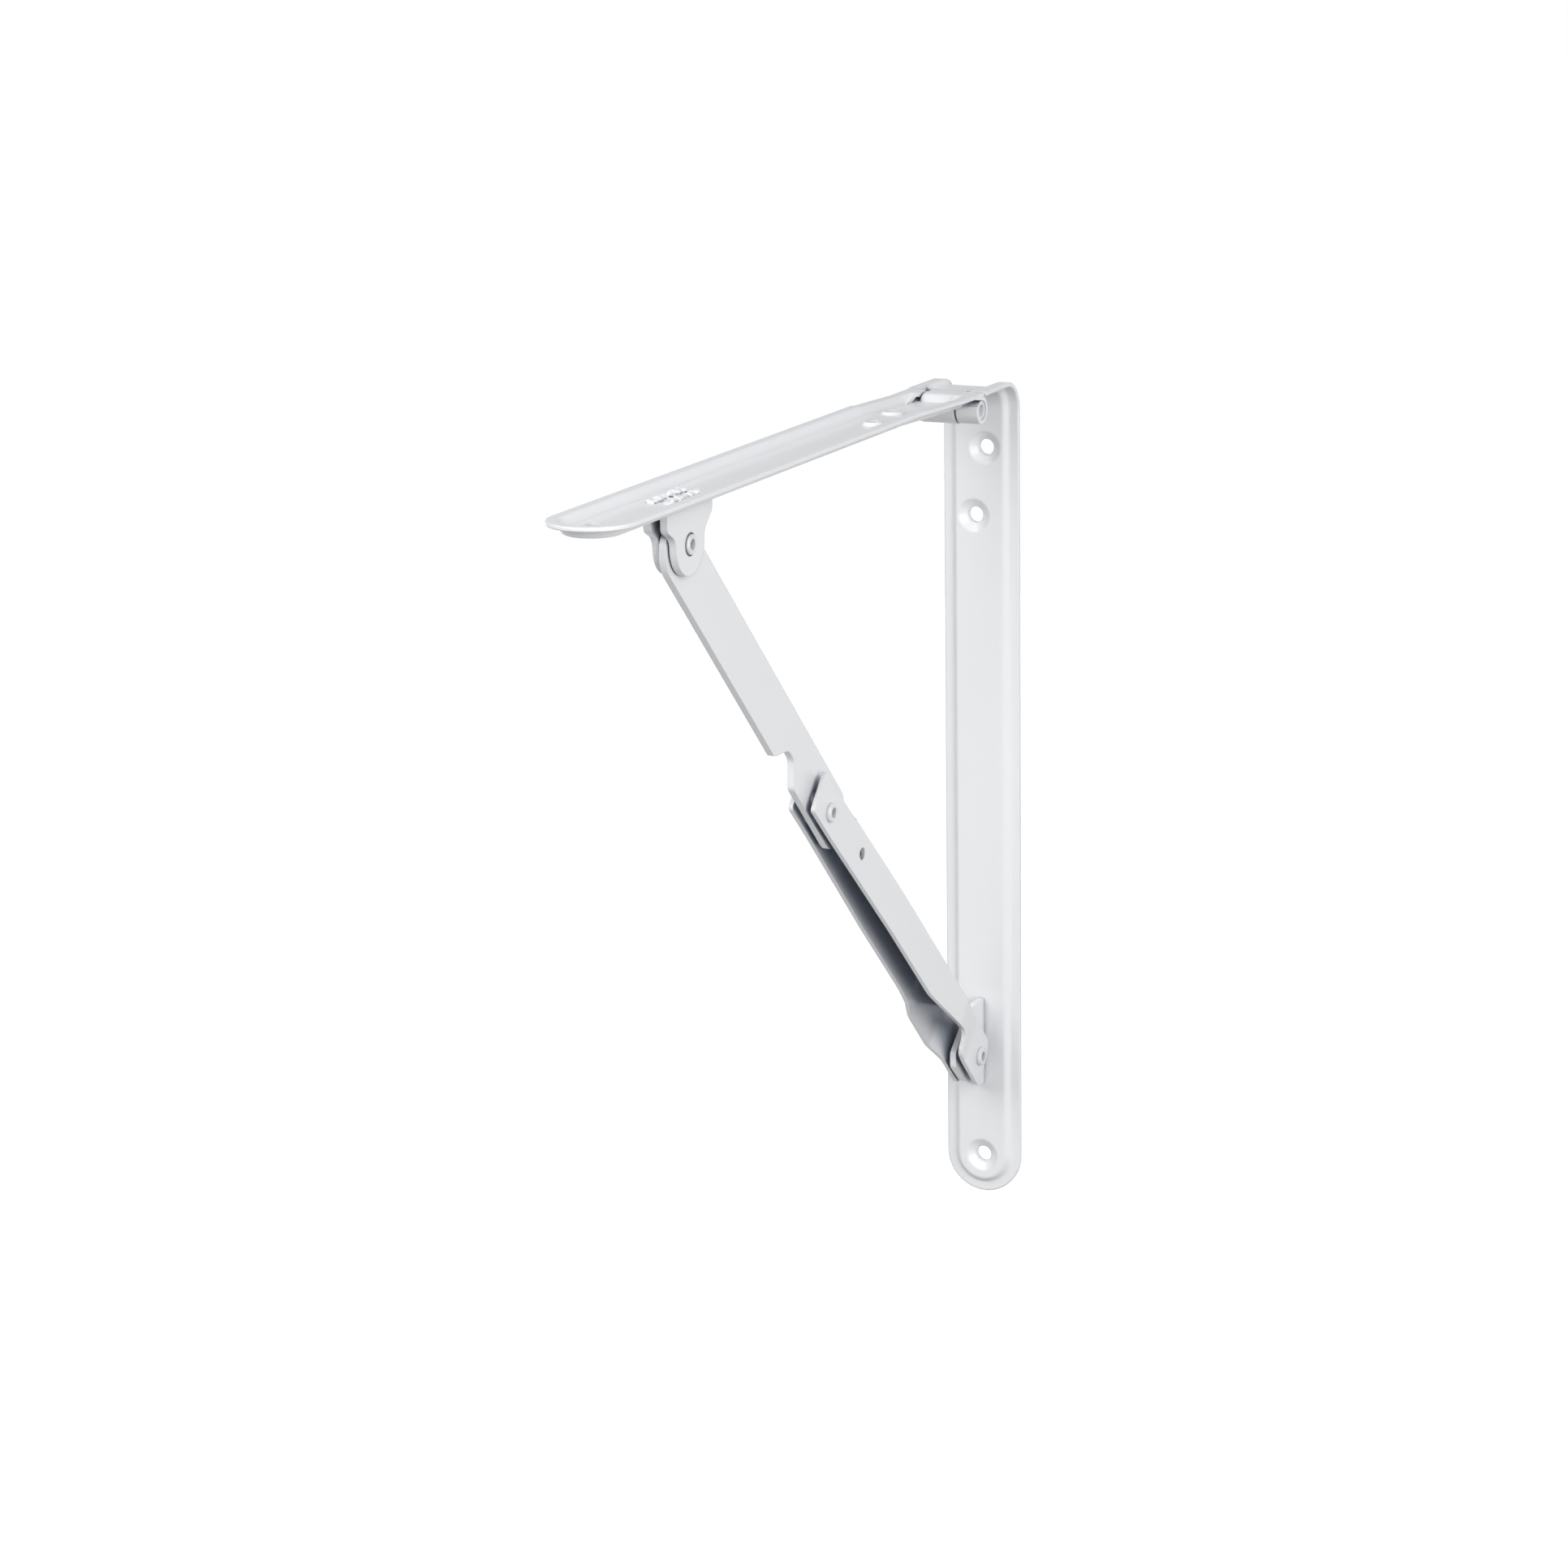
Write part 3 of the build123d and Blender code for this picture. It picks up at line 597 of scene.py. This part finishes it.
class CoatRivets(bpy.types.Operator):
    """Coats the rivets, the hinge pin and the washers, with the film scuffed in patches"""

    bl_idname = "bracket.coat_rivets"
    bl_label = "Coat the rivets and the pin"

    def execute(self, context):
        settings = context.scene.bracket_coat
        edge = settings.rivet_edge
        # reach of the painted shade in the hollows of the rivets and the pin
        reach = settings.rivet_shade_reach
        colour = settings.rivet_colour
        material = powder_coat("rivet_coat", colour, settings, edge, reach, RIVET_WEAR)
        coat(nodes_named("rivet") + nodes_named("pin") + nodes_named("washer"), material)
        return {"FINISHED"}


# ---------------------------------------------------------------------------
# Peened tenon heads

def peened_tree():
    """Geometry nodes: one hammered head on each point, its long side along Y."""
    tree = bpy.data.node_groups.new("peened_heads", "GeometryNodeTree")
    face = tree.interface
    face.new_socket("Geometry", in_out="INPUT", socket_type="NodeSocketGeometry")
    for name in ("Length", "Width", "Height", "Roughening"):
        face.new_socket(name, in_out="INPUT", socket_type="NodeSocketFloat")
    face.new_socket("Seed", in_out="INPUT", socket_type="NodeSocketInt")
    face.new_socket("Material", in_out="INPUT", socket_type="NodeSocketMaterial")
    face.new_socket("Geometry", in_out="OUTPUT", socket_type="NodeSocketGeometry")
    graph = Graph(tree)
    given = graph.add("NodeGroupInput").outputs
    sides = [given["Width"], given["Length"], given["Height"]]
    size = graph.add("ShaderNodeCombineXYZ", {}, sides)
    block = graph.add("GeometryNodeMeshCube", {}, {"Size": size.outputs[0], **HEAD_POINTS})
    lump = graph.add(
        "GeometryNodeSubdivisionSurface", {}, {"Mesh": block.outputs[0], "Level": HEAD_LEVEL}
    )
    turn = graph.add(
        "FunctionNodeRandomValue",
        {"data_type": "FLOAT_VECTOR"},
        {0: [-angle for angle in HEAD_TURN], 1: HEAD_TURN, "Seed": given["Seed"]},
    )
    grow = graph.add(
        "FunctionNodeRandomValue",
        {"data_type": "FLOAT_VECTOR"},
        {0: HEAD_SMALLEST, 1: HEAD_LARGEST, "Seed": given["Seed"]},
    )
    heads = graph.add(
        "GeometryNodeInstanceOnPoints",
        {},
        {
            "Points": given["Geometry"],
            "Instance": lump.outputs[0],
            "Rotation": turn.outputs[0],
            "Scale": grow.outputs[0],
        },
    )
    real = graph.add("GeometryNodeRealizeInstances", {}, [heads.outputs[0]])

    # the dents push each point in or out along its normal, by the roughening at most
    dents = graph.add("ShaderNodeTexNoise", {}, DENTS)
    push = Wire(graph, dents.outputs["Fac"]).between(*DENT_RANGE) - 0.5
    way = graph.add("ShaderNodeVectorMath", {"operation": "SCALE"})
    graph.link(graph.add("GeometryNodeInputNormal").outputs[0], way.inputs[0])
    graph.link(push * given["Roughening"] * 2.0, way.inputs["Scale"])
    bent = graph.add(
        "GeometryNodeSetPosition", {}, {"Geometry": real.outputs[0], "Offset": way.outputs[0]}
    )
    smooth = graph.add("GeometryNodeSetShadeSmooth", {}, {"Geometry": bent.outputs[0]})
    done = graph.add(
        "GeometryNodeSetMaterial",
        {},
        {"Geometry": smooth.outputs[0], "Material": given["Material"]},
    )
    graph.link(done.outputs[0], graph.add("NodeGroupOutput").inputs[0])
    return tree


def grown(name, points, tree, values, turn=None):
    """Runs the tree on some points and keeps the outcome, turned or not, as a plain mesh."""
    seeds = bpy.data.meshes.new(name + "_points")
    seeds.from_pydata(points, [], [])
    carrier = bpy.data.objects.new(name + "_points", seeds)
    bpy.context.collection.objects.link(carrier)
    modifier = carrier.modifiers.new("grow", "NODES")
    modifier.node_group = tree
    for item in tree.interface.items_tree:
        if item.in_out == "INPUT" and item.name in values:
            modifier[item.identifier] = values[item.name]
    depsgraph = bpy.context.evaluated_depsgraph_get()
    mesh = bpy.data.meshes.new_from_object(carrier.evaluated_get(depsgraph))
    carrier.modifiers.clear()
    bpy.data.objects.remove(carrier)
    if turn:
        mesh.transform(turn)
    piece = bpy.data.objects.new(name, mesh)
    bpy.context.collection.objects.link(piece)
    return piece


def box_of(names):
    """Lowest and highest corner of some frame nodes."""
    nodes = [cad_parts[name] for name in names]
    spots = [node.matrix_world @ point.co for node in nodes for point in node.data.vertices]
    return [Vector(pick(spot[i] for spot in spots) for i in range(3)) for pick in (min, max)]


class PeenHeads(bpy.types.Operator):
    """Hammers down the ears' tenons in the arm's trough and the lug's behind the plate"""

    bl_idname = "bracket.peen_heads"
    bl_label = "Peen the tenons"

    def execute(self, context):
        scene = context.scene
        paint = scene.bracket_coat
        settings = scene.bracket_peening
        edge = paint.rivet_edge
        # reach of the painted shade in the folds of the heads
        reach = paint.peen_shade_reach
        colour = paint.sheet_colour
        material = powder_coat("peened_coat", colour, paint, edge, reach, HEAD_WEAR)
        tree = peened_tree()
        values = {
            "Length": settings.length,
            "Width": settings.width,
            "Height": settings.height,
            "Roughening": settings.roughening,
            "Seed": settings.seed,
            "Material": material,
        }
        low, high = box_of(["arm_rivet"])
        along = (low.y + high.y) / 2 - settings.ear_shift
        spots = []
        for name in nodes_named("clevis_ear"):
            low, high = box_of([name])
            across = (low.x + high.x) / 2
            for step in (-1, 0, 1):
                out = along - step * settings.ear_pitch
                spots.append((across, out, high.z - settings.sunk))
        heads = grown("ear_tenon_heads", spots, tree, values)
        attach(heads, "arm")

        # behind the plate the heads lie on their side, so the points are turned back first
        low, high = box_of(["foot_rivet"])
        level = (low.z + high.z) / 2
        back = box_of(["foot_lug"])[1].y - settings.sunk
        lay = Matrix.Rotation(-math.pi / 2, 4, "X")
        spots = [(0.0, back, level + step * settings.lug_pitch / 2) for step in (-1, 1)]
        spots = [lay.inverted() @ Vector(spot) for spot in spots]
        values["Length"] = settings.lug_length
        heads = grown("lug_tenon_heads", spots, tree, values, lay)
        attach(heads, "wall")
        return {"FINISHED"}


def soft_lamp(name, place, target, size, power):
    """A square studio lamp turned towards a point."""
    data = bpy.data.lights.new(name, "AREA")
    data.shape = "SQUARE"
    data.size = size
    data.energy = power
    lamp = bpy.data.objects.new(name, data)
    lamp.location = place
    lamp.rotation_euler = (target - place).to_track_quat("-Z", "Y").to_euler()
    bpy.context.collection.objects.link(lamp)


def seen_white(finish, colour, strength):
    """A surface that keeps its shadows but whose own colour is lifted to white in view."""
    diffuse = finish.add("ShaderNodeBsdfDiffuse", {}, {"Color": colour})
    glow = finish.add("ShaderNodeEmission", {}, {"Color": WHITE, "Strength": strength})
    path = finish.add("ShaderNodeLightPath").outputs
    seen = Wire(finish, path["Is Camera Ray"]) + path["Is Glossy Ray"]
    seen = seen + path["Is Transmission Ray"]
    black = finish.add("ShaderNodeEmission", {}, {"Strength": 0.0})
    lift = finish.add("ShaderNodeMixShader", {}, [seen, black.outputs[0], glow.outputs[0]])
    both = finish.add("ShaderNodeAddShader", {}, [diffuse.outputs[0], lift.outputs[0]])
    finish.link(both.outputs[0], finish.output.inputs["Surface"])


class SetStage(bpy.types.Operator):
    """Lays the floor, lights the room, hangs the lamps and places the camera"""

    bl_idname = "bracket.set_stage"
    bl_label = "Set the stage"

    def execute(self, context):
        settings = context.scene.bracket_stage
        scene = context.scene
        scene.view_settings.view_transform = "Standard"

        # floor
        mesh = bpy.data.meshes.new("floor")
        level = LOW.z - settings.floor_drop
        signs = ((-1, -1), (1, -1), (1, 1), (-1, 1))
        corners = [(x * FLOOR_REACH, y * FLOOR_REACH, level) for x, y in signs]
        mesh.from_pydata(corners, [], [(0, 1, 2, 3)])
        floor = bpy.data.objects.new("floor", mesh)
        scene.collection.objects.link(floor)
        paper = Finish("floor_paper")
        seen_white(paper, settings.floor_colour, settings.floor_lift)
        mesh.materials.append(paper.material)
        floor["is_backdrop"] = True

        # room: almost even light, a little less on the left, and white where it is looked at
        world = bpy.data.worlds.new("studio")
        scene.world = world
        world.use_nodes = True
        room = Graph(world.node_tree)
        around = room.add("ShaderNodeTexCoord").outputs["Generated"]
        way = room.add("ShaderNodeSeparateXYZ", {}, [around]).outputs
        height = Wire(room, way["Z"]).between(*ROOM_RISE)
        side = Wire(room, way["X"]).between(*ROOM_SIDE)
        power = settings.room_low + height * (settings.room_high - settings.room_low)
        power = power * (settings.room_left + side * (1.0 - settings.room_left))
        paint = {"Color": ROOM_COLOUR, "Strength": power}
        light = room.add("ShaderNodeBackground", {}, paint)
        white = room.add("ShaderNodeBackground", {}, {"Color": WHITE, "Strength": 1.0})
        seen = room.add("ShaderNodeLightPath").outputs["Is Camera Ray"]
        mix = room.add("ShaderNodeMixShader", {}, [seen, light.outputs[0], white.outputs[0]])
        room.link(mix.outputs[0], room.add("ShaderNodeOutputWorld").inputs["Surface"])

        # lamps: one high on the left, one on the right, and a weaker one low behind
        middle = (LOW + HIGH) / 2
        soft_lamp("key_lamp", middle + KEY_PLACE, middle, KEY_SIZE, settings.key_power)
        soft_lamp("fill_lamp", middle + FILL_PLACE, middle, FILL_SIZE, settings.fill_power)
        soft_lamp("back_lamp", middle + BACK_PLACE, middle, BACK_SIZE, settings.back_power)

        # camera
        data = bpy.data.cameras.new("camera")
        data.sensor_width = SENSOR_WIDTH
        data.lens = settings.lens
        camera = bpy.data.objects.new("camera", data)
        across, along = math.sin(CAMERA_TURN), math.cos(CAMERA_TURN)
        flat = math.cos(CAMERA_RISE)
        ahead = Vector((-across * flat, along * flat, -math.sin(CAMERA_RISE)))
        level = Vector((along, across, 0.0))
        upright = level.cross(ahead)
        right = math.cos(CAMERA_ROLL) * level + math.sin(CAMERA_ROLL) * upright
        up = math.cos(CAMERA_ROLL) * upright - math.sin(CAMERA_ROLL) * level
        shift = right * TOP_RIGHT + up * TOP_UP + ahead * TOP_AHEAD
        place = Vector((0.0, 0.0, HIGH.z)) - shift
        axes = Matrix((right, up, -ahead)).transposed()
        camera.matrix_world = Matrix.Translation(place) @ axes.to_4x4()
        scene.collection.objects.link(camera)
        scene.camera = camera
        return {"FINISHED"}


class BracketPanel(bpy.types.Panel):
    """Sizes, colours and steps of the bracket"""

    bl_idname = "VIEW3D_PT_bracket"
    bl_label = "Folding shelf bracket"
    bl_space_type = "VIEW_3D"
    bl_region_type = "UI"
    bl_category = "Bracket"

    def draw(self, context):
        layout = self.layout
        scene = context.scene
        for settings in (scene.bracket_coat, scene.bracket_peening, scene.bracket_stage):
            box = layout.box()
            for name in settings.__annotations__:
                box.prop(settings, name)
        for step in STEPS:
            layout.operator(step.bl_idname)


STEPS = (CoatSheets, CoatBlanks, CoatRivets, PeenHeads, SetStage)
CLASSES = (CoatSettings, PeeningSettings, StageSettings, *STEPS, BracketPanel)


def register():
    """Registers the classes and hangs their settings on the scene."""
    for item in CLASSES:
        bpy.utils.register_class(item)
    bpy.types.Scene.bracket_coat = PointerProperty(type=CoatSettings)
    bpy.types.Scene.bracket_peening = PointerProperty(type=PeeningSettings)
    bpy.types.Scene.bracket_stage = PointerProperty(type=StageSettings)


def unregister():
    """Takes the settings off the scene and unregisters the classes."""
    del bpy.types.Scene.bracket_stage
    del bpy.types.Scene.bracket_peening
    del bpy.types.Scene.bracket_coat
    for item in reversed(CLASSES):
        bpy.utils.unregister_class(item)


def main():
    """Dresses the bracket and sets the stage."""
    register()
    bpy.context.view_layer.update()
    bpy.ops.bracket.coat_sheets()
    bpy.ops.bracket.coat_blanks()
    bpy.ops.bracket.coat_rivets()
    bpy.ops.bracket.peen_heads()
    bpy.ops.bracket.set_stage()


if __name__ == "__main__":
    main()
